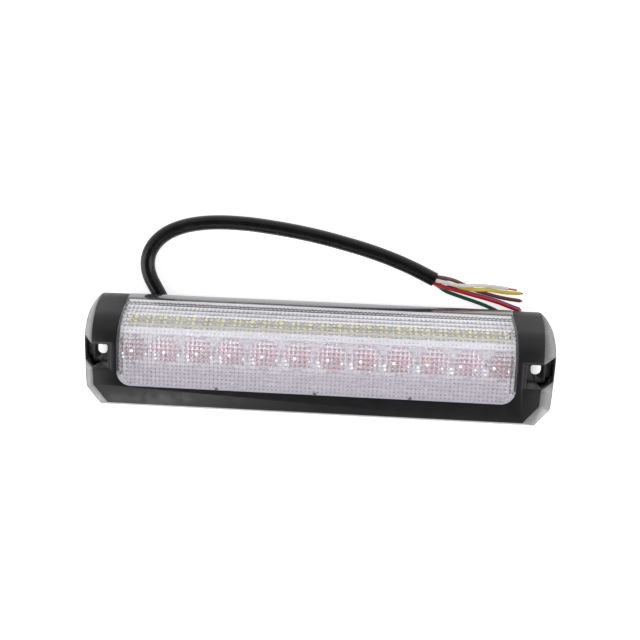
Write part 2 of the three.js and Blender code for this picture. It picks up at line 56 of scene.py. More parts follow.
class Mat:
    """A Principled material and short ways to add procedural detail, in object coordinates."""

    def __init__(self, name, colour, rough, metal=0.0, **sockets):
        self.m = bpy.data.materials.new(name)
        self.t = nodes_of(self.m)
        self.out = self.new("OutputMaterial")
        self.p = self.new("BsdfPrincipled")
        self.link(self.p.outputs[0], self.out.inputs[0])
        self.p.inputs["Base Color"].default_value = (*colour, 1)
        self.p.inputs["Roughness"].default_value = rough
        self.p.inputs["Metallic"].default_value = metal
        for key, value in sockets.items():
            self.p.inputs[key.replace("_", " ")].default_value = value
        self.where = self.new("TexCoord").outputs["Object"]
        self.m.diffuse_color = (*colour, 1)

    def new(self, kind):
        return self.t.nodes.new("ShaderNode" + kind)

    def link(self, a, b):
        self.t.links.new(a, b)

    def stretch(self, scale):
        n = self.new("Mapping")
        n.inputs["Scale"].default_value = scale
        self.link(self.where, n.inputs[0])
        return n.outputs[0]

    def noise(self, scale, detail=3.0, rough=0.55, at=None):
        n = self.new("TexNoise")
        n.inputs["Scale"].default_value = scale
        n.inputs["Detail"].default_value = detail
        n.inputs["Roughness"].default_value = rough
        self.link(at or self.where, n.inputs["Vector"])
        return n.outputs[0]

    def voronoi(self, scale, at=None, feature="F1"):
        n = self.new("TexVoronoi")
        n.feature = feature
        n.inputs["Scale"].default_value = scale
        self.link(at or self.where, n.inputs["Vector"])
        return n.outputs["Distance"]

    def ramp(self, value, stops):
        n = self.new("ValToRGB")
        while len(n.color_ramp.elements) < len(stops):
            n.color_ramp.elements.new(0.5)
        for e, (pos, col) in zip(n.color_ramp.elements, stops):
            e.position = pos
            e.color = (*col, 1) if isinstance(col, tuple) else (col, col, col, 1)
        self.link(value, n.inputs[0])
        return n.outputs[0]

    def mix(self, factor, a, b):
        n = self.new("Mix")
        n.data_type = "RGBA"
        for v, i in ((factor, 0), (a, 6), (b, 7)):
            if isinstance(v, tuple):
                n.inputs[i].default_value = (*v, 1)
            elif isinstance(v, (int, float)):
                n.inputs[i].default_value = v
            else:
                self.link(v, n.inputs[i])
        return n.outputs[2]

    def math(self, op, a, b=0.0):
        n = self.new("Math")
        n.operation = op
        for v, i in ((a, 0), (b, 1)):
            if isinstance(v, (int, float)):
                n.inputs[i].default_value = v
            else:
                self.link(v, n.inputs[i])
        return n.outputs[0]

    def between(self, value, start, end, low, high, kind="LINEAR"):
        """The value from start to end mapped to low to high, and held beyond both ends."""
        n = self.new("MapRange")
        n.interpolation_type = kind
        for key, v in (("From Min", start), ("From Max", end), ("To Min", low), ("To Max", high)):
            n.inputs[key].default_value = v
        self.link(value, n.inputs["Value"])
        return n.outputs[0]

    def place(self):
        """X, Y and Z in metres."""
        n = self.new("SeparateXYZ")
        self.link(self.where, n.inputs[0])
        return n.outputs

    def clear_where(self, factor, colour=(1, 1, 1)):
        """Lets light straight through where the factor is 1."""
        clear, mix = self.new("BsdfTransparent"), self.new("MixShader")
        clear.inputs[0].default_value = (*colour, 1)
        for source, socket in zip((factor, self.p.outputs[0], clear.outputs[0]), mix.inputs):
            self.link(source, socket)
        self.link(mix.outputs[0], self.out.inputs[0])

    def colour(self, source):
        self.link(source, self.p.inputs["Base Color"])

    def rough(self, source):
        self.link(source, self.p.inputs["Roughness"])

    def bump(self, height, strength, distance, below=None):
        n = self.new("Bump")
        n.inputs["Strength"].default_value = strength
        n.inputs["Distance"].default_value = distance
        self.link(height, n.inputs["Height"])
        if below is not None:
            self.link(below, n.inputs["Normal"])
        self.link(n.outputs[0], self.p.inputs["Normal"])
        return n.outputs[0]

# ------------------------------------------------------------------ camera, floor, light
CAMERA_AT = (18.667, 86.274, 430.682)  # mm
CAMERA_YAW, CAMERA_PITCH, CAMERA_ROLL = 0.042555, 0.152633, 0.040118
SENSOR, FOCAL_LENGTH = 36, 43.6617


def make_camera():
    """The photograph's viewpoint: turned, tilted, then rolled about the line of sight."""
    back = Vector((math.sin(CAMERA_YAW) * math.cos(CAMERA_PITCH), math.sin(CAMERA_PITCH),
                   math.cos(CAMERA_YAW) * math.cos(CAMERA_PITCH)))
    level = (-back).cross(Vector((0, 1, 0))).normalized()
    up = level.cross(-back)
    right = level * math.cos(CAMERA_ROLL) + up * math.sin(CAMERA_ROLL)
    over = -level * math.sin(CAMERA_ROLL) + up * math.cos(CAMERA_ROLL)
    cam = bpy.data.cameras.new("camera")
    cam.sensor_width = SENSOR
    cam.lens = FOCAL_LENGTH
    cam.clip_start, cam.clip_end = 0.01, 20
    ob = bpy.data.objects.new("camera", cam)
    scene.collection.objects.link(ob)
    m = Matrix((right, over, back)).transposed().to_4x4()
    m.translation = Vector(CAMERA_AT) * MM
    ob.matrix_world = m
    scene.camera = ob


def area(name, at, size, power):
    """A soft lamp aimed at the middle of the object."""
    light = bpy.data.lights.new(name, "AREA")
    light.shape = "RECTANGLE"
    light.size, light.size_y = size
    light.energy = power
    ob = bpy.data.objects.new(name, light)
    ob.location = at
    ob.rotation_mode = "QUATERNION"
    ob.rotation_quaternion = (-Vector(at)).to_track_quat("-Z", "Y")
    scene.collection.objects.link(ob)


FLOOR_HALF, FLOOR_Z = 6.0, -0.0001  # metres, like the shade under the lamp
FLOOR_GLOW, SHADE_GLOW = 0.68, 0.30
SHADE_EDGE, SHADE_CORE = (0.127, 0.031), (0.117, 0.014)  # half the shade's size in x and y
LIGHTS = [  # name, place, size and power
    ("softbox_left", (-1.0, -0.1, 0.62), (0.7, 1.1), 5),
    ("softbox_right", (1.0, -0.1, 0.62), (0.7, 1.1), 5),
    ("spot_near", (-0.42, -0.50, 0.72), (0.10, 0.10), 1.6)]
SKY_GLOW = 0.85
SKY = ((0.0, (1.0, 1.0, 1.0)), (0.62, (1.0, 1.0, 1.0)), (0.86, (0.05, 0.05, 0.052)))  # dark overhead


def floor_material():
    """White, glowing less in the shade under the lamp's rim, and clear from below."""
    m = Mat("floor_white", (0.93, 0.93, 0.93), 0.9, Specular_IOR_Level=0.0, Emission_Color=(1, 1, 1, 1))
    shade_here = 1.0
    for axis, edge, core in zip(m.place(), SHADE_EDGE, SHADE_CORE):
        inside = m.between(m.math("ABSOLUTE", axis), edge, core, 0.0, 1.0, "SMOOTHSTEP")
        shade_here = m.math("MULTIPLY", shade_here, inside)
    less = m.math("MULTIPLY", shade_here, FLOOR_GLOW - SHADE_GLOW)
    m.link(m.math("SUBTRACT", FLOOR_GLOW, less), m.p.inputs["Emission Strength"])
    m.clear_where(m.new("NewGeometry").outputs["Backfacing"])
    return m.m


def make_stage():
    scene.world = bpy.data.worlds.new("studio")
    tree = nodes_of(scene.world)
    out, bg, ramp, split, where = (tree.nodes.new("ShaderNode" + kind) for kind in (
        "OutputWorld", "Background", "ValToRGB", "SeparateXYZ", "TexCoord"))
    ramp.color_ramp.elements.new(0.5)
    for e, (height, colour) in zip(ramp.color_ramp.elements, SKY):
        e.position = height
        e.color = (*colour, 1)
    bg.inputs["Strength"].default_value = SKY_GLOW
    tree.links.new(where.outputs["Generated"], split.inputs[0])
    tree.links.new(split.outputs[2], ramp.inputs[0])
    tree.links.new(ramp.outputs[0], bg.inputs[0])
    tree.links.new(bg.outputs[0], out.inputs[0])

    s, z = FLOOR_HALF, FLOOR_Z
    me = bpy.data.meshes.new("floor")
    me.from_pydata([(-s, -s, z), (s, -s, z), (s, s, z), (-s, s, z)], [], [(0, 1, 2, 3)])
    me.materials.append(floor_material())
    floor = bpy.data.objects.new("floor", me)
    scene.collection.objects.link(floor)

    for light in LIGHTS:
        area(*light)
    scene.view_settings.view_transform = "Standard"
    scene.view_settings.look = "None"
    scene.view_settings.exposure = 0
    scene.view_settings.gamma = 1


make_camera()
make_stage()

# ------------------------------------------------------------------ materials


def plastic(name, dark, light, rough, grain=2600, grain_depth=0.00005, strength=0.35, **sockets):
    """Moulded plastic or rubber: cloudy colour, uneven gloss, fine moulded grain."""
    m = Mat(name, dark, rough, **sockets)
    cloud = m.noise(38, 4)
    m.colour(m.mix(m.ramp(cloud, [(0.3, 0.0), (0.72, 1.0)]), dark, light))
    m.rough(m.ramp(m.noise(170, 3), [(0.25, max(rough - 0.07, 0.03)), (0.75, min(rough + 0.09, 1))]))
    m.bump(m.noise(grain, 2, 0.6), strength, grain_depth)
    return m.m


def metal(name, colour, rough, along=(900, 900, 90)):
    m = Mat(name, colour, rough, 1.0)
    brushed = m.noise(1.0, 3, at=m.stretch(along))
    dim = tuple(c * 0.72 for c in colour)
    m.colour(m.mix(m.ramp(brushed, [(0.3, 0.0), (0.7, 1.0)]), dim, colour))
    m.rough(m.ramp(m.noise(400, 3), [(0.3, max(rough - 0.08, 0.05)), (0.7, rough + 0.14)]))
    m.bump(brushed, 0.2, 0.00003)
    return m.m


M = {}


def make_materials():
    M["bezel"] = plastic(
        "bezel_black", (0.0095, 0.0096, 0.0106), (0.0140, 0.0142, 0.0156), 0.38, grain=2300,
        grain_depth=0.00009, strength=0.30, Sheen_Weight=0.55, Sheen_Roughness=0.25,
        Specular_IOR_Level=0.32)
    M["housing"] = plastic("housing_black", (0.014, 0.0145, 0.016), (0.024, 0.025, 0.027), 0.46, grain=3200)
    M["rubber"] = plastic("rubber_black", (0.010, 0.010, 0.011), (0.019, 0.019, 0.020), 0.72, grain=4200)
    M["jacket"] = jacket_material()
    # the white parts glow faintly, for the light that is scattered to and fro inside the lamp
    M["white_plastic"] = plastic(
        "reflector_white", (0.72, 0.71, 0.75), (0.80, 0.79, 0.83), 0.34, grain=1500,
        grain_depth=0.00002, strength=0.2, Emission_Color=(0.96, 0.94, 1.0, 1), Emission_Strength=0.10)
    M["wing"] = plastic(
        "wing_white", (0.80, 0.79, 0.82), (0.86, 0.85, 0.88), 0.30, grain=1500,
        grain_depth=0.00002, strength=0.2, Emission_Color=(0.97, 0.96, 1.0, 1), Emission_Strength=0.24)
    # the lens's low edge, light grey and glowing: painted light for a clear rim that catches the light
    M["edge"] = plastic(
        "lens_edge_painted_light", (0.58, 0.57, 0.61), (0.66, 0.65, 0.68), 0.30, grain=1500,
        grain_depth=0.00002, Emission_Color=(0.94, 0.92, 1.0, 1), Emission_Strength=0.16)
    # the last row of pillows: painted light, white and glowing
    M["bead"] = plastic(
        "bead_painted_light", (0.86, 0.86, 0.88), (0.92, 0.92, 0.94), 0.12, grain=1500,
        grain_depth=0.00001, strength=0.1, Emission_Color=(0.98, 0.98, 1.0, 1), Emission_Strength=0.22)
    # painted highlights: spots that glow white to stand for glints
    M["glint"] = plastic(
        "glint_painted_highlight", (0.90, 0.90, 0.92), (0.95, 0.95, 0.97), 0.10, grain=1500,
        grain_depth=0.00001, strength=0.1, Emission_Color=(1.0, 1.0, 1.0, 1), Emission_Strength=0.65)
    M["ceramic"] = plastic("led_body_white", (0.78, 0.77, 0.73), (0.88, 0.87, 0.83), 0.4, grain=6000,
                           grain_depth=0.00001)
    M["phosphor"] = plastic(
        "led_phosphor", (0.92, 0.84, 0.10), (0.98, 0.92, 0.20), 0.35, grain=9000,
        grain_depth=0.00001, Emission_Color=(1.0, 0.93, 0.22, 1), Emission_Strength=0.35)
    M["chip"] = plastic("chip_black", (0.012, 0.012, 0.013), (0.022, 0.022, 0.024), 0.42, grain=7000)
    M["terminal"] = plastic("terminal_cream", (0.58, 0.55, 0.45), (0.68, 0.65, 0.55), 0.45)
    M["steel"] = metal("screw_steel", (0.46, 0.47, 0.49), 0.30)
    M["dark_steel"] = metal("screw_dark", (0.16, 0.165, 0.175), 0.36)
    M["can"] = metal("can_aluminium", (0.62, 0.63, 0.65), 0.32)
    M["copper"] = metal("copper", (0.78, 0.42, 0.28), 0.30, along=(2000, 2000, 2000))
    wires = {"blue": (0.022, 0.072, 0.32), "brown": (0.135, 0.045, 0.035),
             "white": (0.66, 0.62, 0.62), "yellow": (0.60, 0.48, 0.075),
             "red": (0.47, 0.008, 0.018), "green": (0.007, 0.115, 0.068)}
    for key, c in wires.items():
        light = tuple(min(1, v * 1.25 + 0.01) for v in c)
        M["wire_" + key] = plastic("core_" + key, c, light, 0.32, grain=1200, grain_depth=0.00002,
                                   strength=0.25)
    M["foam"] = foam_material()
    M["board"] = board_material()
    M["mirror"] = mirror_material()
    M["lens"] = lens_material()
    M["red_dome"] = red_material()
    M["foot"] = plastic(
        "lens_foot_black_backed", (0.038, 0.040, 0.045), (0.050, 0.0525, 0.058), 0.14, grain=900,
        grain_depth=0.00001, Specular_IOR_Level=0.9, Coat_Weight=1.0, Coat_Roughness=0.05,
        Coat_IOR=1.8)


def jacket_material():
    m = Mat("jacket_black", (0.014, 0.014, 0.015), 0.36, Specular_IOR_Level=0.3)
    cloud = m.ramp(m.noise(60, 5), [(0.35, 0.0), (0.7, 1.0)])
    m.colour(m.mix(cloud, (0.0045, 0.0045, 0.0050), (0.0085, 0.0085, 0.0090)))
    m.rough(m.ramp(m.noise(240, 4), [(0.25, 0.20), (0.75, 0.32)]))
    waves = m.bump(m.noise(130, 2), 0.15, 0.0003)
    m.bump(m.noise(2400, 2), 0.25, 0.00004, below=waves)
    return m.m


def foam_material():
    m = Mat("foam_black", (0.012, 0.012, 0.013), 0.95)
    cells = m.voronoi(1500)
    m.colour(m.ramp(cells, [(0.1, 0.006), (0.7, 0.030)]))
    m.bump(cells, 0.8, 0.0004)
    return m.m


def board_material():
    m = Mat("board_white", (0.78, 0.79, 0.78), 0.42)
    tracks = m.voronoi(260, feature="DISTANCE_TO_EDGE")
    m.colour(m.mix(m.ramp(tracks, [(0.05, 1.0), (0.09, 0.0)]), (0.62, 0.63, 0.63), (0.50, 0.52, 0.51)))
    m.rough(m.ramp(m.noise(300, 3), [(0.3, 0.34), (0.7, 0.52)]))
    m.bump(tracks, 0.3, 0.00004)
    return m.m


def mirror_material():
    """Metallised inside the cups, satin on the land between them and nearly so in the trough.

    The land, and most of the trough, are a greyer white than the cups: painted shade, so that the land
    close under the lens shows no brighter than the cups. All of it glows faintly: painted light.
    """
    m = Mat("reflector_bright", (0.90, 0.89, 0.93), 0.16, 0.5, Emission_Color=(0.95, 0.92, 1.0, 1),
            Emission_Strength=0.10)
    _, y, z = m.place()
    below_land = m.between(z, 0.031520, 0.031588, 1.0, 0.0)
    out_of_trough = m.between(y, -0.00276, -0.00266, 0.25, 1.0)  # the trough lies on the low side
    deep = m.math("MULTIPLY", below_land, out_of_trough)
    # painted shade: the land's colour, greyer than the cups'
    land = m.mix(m.noise(90, 3), (0.490, 0.450, 0.490), (0.560, 0.520, 0.560))
    m.colour(m.mix(deep, land, (0.93, 0.91, 0.95)))
    m.link(m.math("MULTIPLY", deep, 0.80), m.p.inputs["Metallic"])
    m.rough(m.ramp(m.noise(500, 3), [(0.3, 0.08), (0.7, 0.16)]))
    m.bump(m.noise(700, 2), 0.15, 0.00008)
    return m.m


def red_material():
    m = Mat("led_red", (0.62, 0.012, 0.030), 0.18, Emission_Color=(0.85, 0.03, 0.07, 1),
            Emission_Strength=0.22)
    m.colour(m.mix(m.noise(700, 3), (0.70, 0.015, 0.035), (0.85, 0.050, 0.080)))
    m.rough(m.ramp(m.noise(900, 2), [(0.3, 0.12), (0.7, 0.25)]))
    return m.m


def lens_material():
    """Clear acrylic that casts no shadow, painted dark at the pillows' creases: painted shade for the dark
    dots and lines that the pillows show.
    """
    m = Mat("lens_clear", (0.985, 0.985, 0.995), 0.0, Transmission_Weight=0.94, IOR=1.49)
    m.bump(m.noise(240, 2), 0.04, 0.00005)
    crease_shade = m.new("Attribute")
    crease_shade.attribute_name = "crease_shade"
    m.colour(m.mix(crease_shade.outputs["Fac"], (0.985, 0.985, 0.995), (0.10, 0.10, 0.12)))
    m.clear_where(m.new("LightPath").outputs["Is Shadow Ray"], (0.93, 0.93, 0.95))
    return m.m


make_materials()


def paint(node, key):
    ob = NODES[node]
    if not ob.material_slots:
        ob.data.materials.append(None)
    for s in ob.material_slots:
        s.link = "OBJECT"
        s.material = M[key]


def keep(ob, slot, *nodes):
    """Hands a piece in: the nodes it stands for, and the body it rides on. Its material slot is not used.
    """
    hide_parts(*nodes)
    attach(ob, "root")
    return ob


def piece(name, verts, faces, mat, angle=30, mm=True):
    me = bpy.data.meshes.new(name)
    me.from_pydata([tuple(v) for v in verts], [], faces)
    me.update()
    ob = bpy.data.objects.new(name, me)
    scene.collection.objects.link(ob)
    if mat:
        me.materials.append(mat)
    if mm:
        me.transform(Matrix.Scale(MM, 4))
    shade(ob, angle)
    return ob


def shade(ob, angle=30):
    """Smooth shading, with edges sharper than the angle kept crisp."""
    me = ob.data
    bm = bmesh.new()
    bm.from_mesh(me)
    bm.normal_update()
    limit = math.radians(angle)
    for f in bm.faces:
        f.smooth = True
    for e in bm.edges:
        e.smooth = len(e.link_faces) == 2 and e.calc_face_angle(0) < limit
    bm.to_mesh(me)
    bm.free()


# ------------------------------------------------------------------ cable and cores


def catmull(route, per):
    """Centripetal Catmull-Rom through the route, with end points mirrored as three.js does."""
    pts = [Vector(p) for p in route]
    pts = [pts[0] * 2 - pts[1], *pts, pts[-1] * 2 - pts[-2]]
    out = []
    for i in range(1, len(pts) - 2):
        p0, p1, p2, p3 = pts[i - 1 : i + 3]
        d0, d1, d2 = (max((b - a).length, 1e-6) ** 0.5 for a, b in ((p0, p1), (p1, p2), (p2, p3)))
        t1 = ((p1 - p0) / d0 - (p2 - p0) / (d0 + d1) + (p2 - p1) / d1) * d1
        t2 = ((p2 - p1) / d1 - (p3 - p1) / (d1 + d2) + (p3 - p2) / d2) * d1
        for k in range(per):
            s = k / per
            out.append(p1 * (2 * s**3 - 3 * s**2 + 1) + t1 * (s**3 - 2 * s**2 + s)
                       + p2 * (3 * s**2 - 2 * s**3) + t2 * (s**3 - s**2))
    out.append(pts[-2])
    return out


def curve_piece(name, points, radius, mat, sides=8):
    cu = bpy.data.curves.new(name, "CURVE")
    cu.dimensions = "3D"
    cu.bevel_depth = radius * MM
    cu.bevel_resolution = sides
    cu.use_fill_caps = True
    sp = cu.splines.new("POLY")
    sp.points.add(len(points) - 1)
    for q, p in zip(sp.points, points):
        q.co = (*(p * MM), 1)
    sp.use_smooth = True
    cu.materials.append(mat)
    ob = bpy.data.objects.new(name, cu)
    scene.collection.objects.link(ob)
    return ob


CABLE_R, WIRE_R = 4.0, 1.05
GROMMET_Y = 21.55  # the free cable starts here
TUCK = 0.2  # how far a copper end starts inside its core
CABLE_ROUTE = [
    (-86.3, 14.6, 7.0), (-86.3, 18.0, 7.0), (-86.35, 21.2, 6.9), (-87.1, 25.5, 5.9),
    (-89.0, 29.6, 4.8), (-91.6, 34.0, 4.2), (-94.6, 39.4, 4.05), (-96.3, 44.6, 4.05),
    (-96.5, 50.0, 4.05), (-94.9, 55.5, 4.05), (-91.1, 60.9, 4.05), (-84.9, 65.7, 4.05),
    (-76.3, 69.3, 4.05), (-67.0, 71.3, 4.05), (-57.0, 72.2, 4.05), (-42.0, 72.0, 4.05),
    (-28.0, 70.7, 4.05), (-14.0, 68.8, 4.05), (-1.0, 66.5, 4.05), (12.0, 63.6, 4.05),
    (25.0, 60.3, 4.05), (37.5, 56.4, 4.05), (50.0, 51.6, 4.05), (62.4, 45.9, 4.05)]
# each core: the length of its bare end, and its route
WIRES = {
    "blue": (0.9, [
        (63.6, 47.6, 2.85), (66.2, 46.5, 2.3), (69.3, 44.3, 1.4), (72.5, 42.2, 1.1),
        (76.1, 40.5, 1.1), (83.5, 38.7, 1.1), (91.0, 37.0, 1.1), (98.5, 35.1, 1.1),
        (104.0, 33.3, 1.1), (110.2, 31.3, 1.1)]),
    "brown": (0.9, [
        (63.6, 47.6, 5.2), (68.1, 47.0, 4.3), (73.3, 45.8, 2.6), (77.8, 44.0, 1.3),
        (80.8, 42.6, 1.1), (83.4, 41.4, 1.1), (86.4, 40.4, 1.1), (91.0, 39.25, 1.1),
        (98.3, 37.6, 1.1), (104.0, 36.7, 1.1), (110.4, 36.0, 1.1)]),
    "white": (4.5, [
        (62.8, 45.7, 6.4), (66.0, 45.2, 6.35), (72.2, 43.9, 6.1), (76.5, 43.4, 5.8),
        (80.0, 43.4, 5.3), (85.0, 43.7, 3.5), (90.5, 43.5, 1.6), (97.9, 42.95, 1.1),
        (103.3, 42.35, 1.1)]),
    "yellow": (0.9, [
        (62.8, 45.7, 4.05), (66.0, 45.0, 4.0), (70.0, 44.2, 3.85), (74.0, 43.1, 3.6),
        (78.6, 41.9, 3.4), (83.5, 41.3, 3.3), (87.8, 41.3, 2.95), (92.0, 41.3, 1.7),
        (96.6, 40.8, 1.1), (102.5, 40.15, 1.1), (110.2, 40.1, 1.1)]),
    "red": (0.9, [
        (61.9, 44.0, 5.2), (65.0, 43.2, 5.1), (68.6, 42.0, 4.6), (76.1, 40.1, 3.55),
        (83.5, 38.3, 3.4), (91.0, 36.6, 3.4), (98.5, 34.6, 3.4), (104.0, 32.7, 3.4),
        (109.7, 30.6, 3.4)]),
    "green": (0.9, [
        (61.9, 44.0, 2.85), (65.0, 42.3, 2.2), (68.7, 39.8, 1.3), (76.3, 37.2, 1.1),
        (83.7, 35.0, 1.1), (91.2, 32.6, 1.1), (97.5, 30.0, 1.1), (103.5, 27.0, 1.1)]),
}


def strands(name, start, way, long):
    """A bare copper end: seven fine strands with a slight lay."""
    side = way.cross(Vector((0, 0, 1))).normalized()
    over = side.cross(way)
    verts, faces = [], []
    rings, sides, r, lay = 10, 8, 0.2, 0.385
    turn_per_mm, shorter = 0.28, 0.05
    for k in range(7):
        for i in range(rings + 1):
            t = i / rings
            a = k * math.tau / 6 + t * long * turn_per_mm
            off = Vector((0, 0, 0)) if k == 6 else side * math.cos(a) * lay + over * math.sin(a) * lay
            back = (shorter * ((k * 5) % 7) / 7) * t * long
            c = start + way * (t * long - back) + off
            for j in range(sides):
                b = j * math.tau / sides
                verts.append(c + side * math.cos(b) * r + over * math.sin(b) * r)
        base = k * (rings + 1) * sides
        for i in range(rings):
            for j in range(sides):
                p, q = base + i * sides + j, base + i * sides + (j + 1) % sides
                faces.append((p, q, q + sides, p + sides))
        faces.append(tuple(base + j for j in reversed(range(sides))))
        faces.append(tuple(base + rings * sides + j for j in range(sides)))
    return piece(name, verts, faces, M["copper"], 40)


def make_cable():
    line = catmull(CABLE_ROUTE, 10)
    # the free cord starts where it leaves the grommet; the stub inside the housing is its own piece
    start = next(i for i, p in enumerate(line) if p.y > GROMMET_Y)
    free, stub = line[start:], line[: start + 1]
    keep(curve_piece("cable_stub", stub, CABLE_R, M["jacket"], 7), "cable_jacket", "cable_jacket")
    cable = keep(curve_piece("cable", free, CABLE_R, M["jacket"], 9), "cable_jacket", "cable_jacket")
    for key, (bare, route) in WIRES.items():
        pts = catmull(route, 6)
        wire = "wire_" + key
        core = keep(curve_piece("core_" + key, pts, WIRE_R, M[wire], 5), wire, wire)
        way = (Vector(route[-1]) - Vector(route[-2])).normalized()
        end = strands("strands_" + key, Vector(route[-1]) - way * TUCK, way, bare + 0.5)
        keep(end, "copper", "wire_end_" + key)


make_cable()

# ------------------------------------------------------------------ solids in mm


def raw(verts, faces):
    return piece("solid", verts, faces, None, mm=False)


def loft(rings):
    """A closed solid through rings of the same length, counter-clockwise seen from the last one."""
    n = len(rings[0])
    verts = [v for ring in rings for v in ring]
    faces = [tuple(reversed(range(n)))]
    for r in range(len(rings) - 1):
        for i in range(n):
            a, b = r * n + i, r * n + (i + 1) % n
            faces.append((a, b, b + n, a + n))
    faces.append(tuple((len(rings) - 1) * n + i for i in range(n)))
    return raw(verts, faces)


def ccw(points):
    s = sum(a[0] * b[1] - b[0] * a[1] for a, b in zip(points, points[1:] + points[:1]))
    return points if s > 0 else points[::-1]


def prism(points, z0, z1):
    p = ccw(points)
    return loft([[(x, y, z0) for x, y in p], [(x, y, z1) for x, y in p]])


def bar(points, x0, x1):
    """A (y, z) section run along X."""
    p = ccw(points)
    return loft([[(x0, y, z) for y, z in p], [(x1, y, z) for y, z in p]])


def box(x0, x1, y0, y1, z0, z1):
    return prism([(x0, y0), (x1, y0), (x1, y1), (x0, y1)], z0, z1)


def post(x, y, z0, z1, r, n):
    turns = [i * math.tau / n for i in range(n)]
    return prism([(x + r * math.cos(a), y + r * math.sin(a)) for a in turns], z0, z1)


def quarter(x, y, r, quarters, steps):
    """A quarter of a circle, starting after so many quarter turns."""
    turns = [math.pi / 2 * quarters + math.pi / 2 * i / steps for i in range(steps + 1)]
    return [(x + r * math.cos(a), y + r * math.sin(a)) for a in turns]


def settle(ob):
    """Applies the object's modifiers."""
    dg = bpy.context.evaluated_depsgraph_get()
    me = bpy.data.meshes.new_from_object(ob.evaluated_get(dg))
    ob.modifiers.clear()
    old = ob.data
    ob.data = me
    bpy.data.meshes.remove(old)
    return ob


def cut(a, b, op="DIFFERENCE"):
    m = a.modifiers.new("b", "BOOLEAN")
    m.operation = op
    m.solver = "MANIFOLD"
    m.object = b
    settle(a)
    me = b.data
    bpy.data.objects.remove(b)
    bpy.data.meshes.remove(me)
    return a


def fuse(a, b):
    return cut(a, b, "UNION")


def common(a, b):
    return cut(a, b, "INTERSECT")


def finish_solid(ob, name, mat, angle=32, edge=0.0, clean=0.6, clamp=False):
    """Cleans, rounds the edges, goes to metres."""
    bm = bmesh.new()
    bm.from_mesh(ob.data)
    bmesh.ops.remove_doubles(bm, verts=bm.verts, dist=0.01)
    bmesh.ops.dissolve_limit(bm, angle_limit=math.radians(clean), verts=bm.verts, edges=bm.edges)
    bm.to_mesh(ob.data)
    bm.free()
    if edge:
        m = ob.modifiers.new("edge", "BEVEL")
        m.width = edge
        m.segments = 2
        m.limit_method = "ANGLE"
        m.angle_limit = math.radians(angle)
        m.use_clamp_overlap = clamp
        m.miter_outer = "MITER_ARC"
        settle(ob)
    ob.name = ob.data.name = name
    ob.data.transform(Matrix.Scale(MM, 4))
    ob.data.materials.clear()
    ob.data.materials.append(mat)
    shade(ob, angle)
    return ob


# ------------------------------------------------------------------ shared outlines
RIM_Z, FACE_Z = 10.0, 36.0  # the mounting plane and the flat front
WALL = 2.0
HALF, TOP_Y, LOW_Y = 130, 31.35, -31.75  # the base
LAND = 1.2  # straight foot of the walls
FLARE_X, FLARE_Y = 0.9046, 0.875  # front / base, along and across
FACET_TURN, FACET_FOOT, FACET_FACE = math.radians(-40), 113.6, 98.8  # the slanted low corners
FACET_INSET = 1.22  # inset in plan for 1 mm of wall on a facet
CURVE_Y, CURVE_Z, CURVE_R = 6.3, 16, 20  # the curved side: main arc, then one round its foot
FOOT_Y, FOOT_Z, FOOT_R = 16.24, 8.4, 15.2
JOIN_Y, JOIN_Z, JOIN_WAY = 23.62, 26, (0.866, 0.5)  # where those two meet, and the way out there
LENS_HALF, LENS_LOW_Y, LENS_CORNER = 104.2, -14.2, 7.5
INNER_HALF = 103.1  # reflectors, divider and wing
BASE_HALF = [(118.9, 31.35), (120.5, 30.6), (123.5, 27.3), (126.5, 22.4), (128.5, 16.6), (129.6, 10.8),
             (130, 5.5), (129.8, -4), (129.4, -16), (128.9, -22.4), (127.7, -26.2), (125.2, -29.5),
             (121.5, -31.75)]


def base_outline(inset, smooth=5):
    pts = [(112, TOP_Y, 0), *[(*p, 0) for p in BASE_HALF], (112, LOW_Y, 0)]
    dense = catmull(pts, smooth)[smooth:-smooth]
    sx = (HALF - inset) / HALF
    mid, tall = (TOP_Y + LOW_Y) / 2, TOP_Y - LOW_Y
    sy = (tall - 2 * inset) / tall
    right = [(min(p.x, HALF) * sx, mid + (max(min(p.y, TOP_Y), LOW_Y) - mid) * sy) for p in dense]
    left = [(-x, y) for x, y in reversed(right)]
    return ccw(right + left)


def flared(points, foot):
    """The outline raised from its foot: straight for the land, then drawn in."""
    land = RIM_Z + LAND
    rings = []
    for z in (foot, land, FACE_Z + 6):
        t = max(0.0, (z - land) / (FACE_Z - land))
        rings.append([(x * (1 - (1 - FLARE_X) * t), TOP_Y - (TOP_Y - y) * (1 - (1 - FLARE_Y) * t), z)
                      for x, y in points])
    return loft(rings)


def faceted(ob, inset):
    """Cuts the two low corners off along their slanted facets."""
    for turn in (FACET_TURN, math.pi - FACET_TURN):
        rings = []
        for z in (0, 48):
            near = FACET_FOOT + (FACET_FACE - FACET_FOOT) * (z - RIM_Z) / (FACE_Z - RIM_Z)
            near -= inset * FACET_INSET
            ring = [(near, -70), (near + 60, -70), (near + 60, 70), (near, 70)]
            c, s = math.cos(turn), math.sin(turn)
            rings.append([(x * c - y * s, x * s + y * c, z) for x, y in ring])
        cut(ob, loft(rings))
    return ob


def arc_points(inset, steps=24):
    """The curved side in (y, z), from the flat front round to its foot."""
    pts = []
    for i in range(steps + 1):
        a = math.radians(60 * i / steps)
        pts.append((CURVE_Y + (CURVE_R - inset) * math.sin(a), CURVE_Z + (CURVE_R - inset) * math.cos(a)))
    for i in range(1, steps // 2 + 1):
        a = math.radians(60 + 24 * i / (steps // 2))
        pts.append((FOOT_Y + (FOOT_R - inset) * math.sin(a), FOOT_Z + (FOOT_R - inset) * math.cos(a)))
    return pts


def section(inset, foot):
    """Front and curved side in (y, z), drawn in, open towards the low side."""
    arc, low = arc_points(inset), -60
    return [(low, foot), (low, FACE_Z - inset), *arc, (arc[-1][0], foot)]


def lens_outline(grow, steps=12):
    half, low, r = LENS_HALF + grow, LENS_LOW_Y - grow, LENS_CORNER + grow
    return [(half, 45), (-half, 45), *quarter(-half + r, low + r, r, 2, steps),
            *quarter(half - r, low + r, r, 3, steps)]


